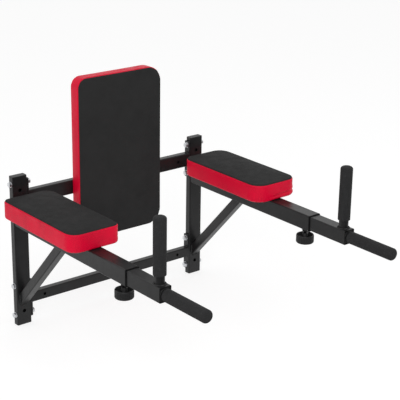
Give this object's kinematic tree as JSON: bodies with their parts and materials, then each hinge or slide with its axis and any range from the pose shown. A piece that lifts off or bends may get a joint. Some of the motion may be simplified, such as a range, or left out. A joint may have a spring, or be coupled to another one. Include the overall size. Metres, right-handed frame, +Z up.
{
  "type": "wall-mounted dip station",
  "caption": "Wall-mounted dip and knee-raise station: tube frame with crossbars, back pad, arm pads, and telescopic arms with vertical and dip handles, set by clamp knobs.",
  "frame": {"origin": "on the wall plane, at the centre of the four wall bolt holes in the uprights", "axes": "+Z up, +Y into the wall, the station's front faces -Y, +X on the right of someone who looks at it from the front"},
  "size_m": [0.748, 0.809, 0.677],
  "materials": {
    "powder_coat": "black powder coat, semi-matte with a fine orange peel",
    "black_plastic": "black moulded plastic",
    "nylon": "natural nylon",
    "zinc": "bright zinc-plated steel",
    "black_steel": "black-oxide steel",
    "grip_rubber": "dark foam rubber grip, matte with fine pores",
    "plywood": "dark-stained plywood",
    "pad_leather": "synthetic leather, red side bands and black faces"
  },
  "bodies": {
    "frame": {"arm_pad_bolts": "zinc", "arm_pad_tee_nuts": "zinc", "arm_pad_washers": "zinc", "back_pad_board": "plywood", "back_pad_bolts": "zinc", "back_pad_cushion": "pad_leather", "back_pad_tee_nuts": "zinc", "back_pad_washers": "zinc", "flange_bolts": "zinc", "flange_nuts": "zinc", "flange_washers": "zinc", "left_arm_pad_board": "plywood", "left_arm_pad_cushion": "pad_leather", "left_arm_tube": "powder_coat", "left_brace": "powder_coat", "left_clamp_nut": "powder_coat", "left_slide_bush": "black_plastic", "left_upright": "powder_coat", "left_upright_caps": "black_plastic", "lower_crossbar": "powder_coat", "lower_left_flange": "powder_coat", "lower_right_flange": "powder_coat", "right_arm_pad_board": "plywood", "right_arm_pad_cushion": "pad_leather", "right_arm_tube": "powder_coat", "right_brace": "powder_coat", "right_clamp_nut": "powder_coat", "right_slide_bush": "black_plastic", "right_upright": "powder_coat", "right_upright_caps": "black_plastic", "upper_crossbar": "powder_coat", "upper_left_flange": "powder_coat", "upper_right_flange": "powder_coat"},
    "left_extension": {"left_extension_tube": "powder_coat", "left_slide_plug": "black_plastic", "left_end_plate": "powder_coat", "left_vertical_handle": "powder_coat", "left_dip_handle": "powder_coat", "left_vertical_grip": "grip_rubber", "left_dip_grip": "grip_rubber"},
    "left_clamp_feed": {"left_clamp_slug": "nylon"},
    "left_clamp": {"left_clamp_knob": "black_plastic", "left_clamp_screw": "black_steel"},
    "right_extension": {"right_extension_tube": "powder_coat", "right_slide_plug": "black_plastic", "right_end_plate": "powder_coat", "right_vertical_handle": "powder_coat", "right_dip_handle": "powder_coat", "right_vertical_grip": "grip_rubber", "right_dip_grip": "grip_rubber"},
    "right_clamp_feed": {"right_clamp_slug": "nylon"},
    "right_clamp": {"right_clamp_knob": "black_plastic", "right_clamp_screw": "black_steel"}
  },
  "joints": [
    {"name": "left_extension_slide", "type": "slide", "parent": "frame", "child": "left_extension", "axis": [0, -1, 0], "range_m": [-0.085, 0.1]},
    {"name": "left_clamp_feed", "type": "slide", "parent": "frame", "child": "left_clamp_feed", "axis": [0, 0, -1], "range_m": [0, 0.0045]},
    {"name": "left_clamp_turn", "type": "hinge", "parent": "left_clamp_feed", "child": "left_clamp", "pos_m": [-0.3, -0.49, 0.05], "axis": [0, 0, -1], "range_deg": [0, 1081]},
    {"name": "right_extension_slide", "type": "slide", "parent": "frame", "child": "right_extension", "axis": [0, -1, 0], "range_m": [-0.085, 0.1]},
    {"name": "right_clamp_feed", "type": "slide", "parent": "frame", "child": "right_clamp_feed", "axis": [0, 0, -1], "range_m": [0, 0.0045]},
    {"name": "right_clamp_turn", "type": "hinge", "parent": "right_clamp_feed", "child": "right_clamp", "pos_m": [0.3, -0.49, 0.05], "axis": [0, 0, -1], "range_deg": [0, 1081]}
  ],
  "couplings": [
    {"joint": "left_clamp_turn", "follows": "left_clamp_feed", "rad_per_m": 4188.8},
    {"joint": "right_clamp_turn", "follows": "right_clamp_feed", "rad_per_m": 4188.8}
  ]
}
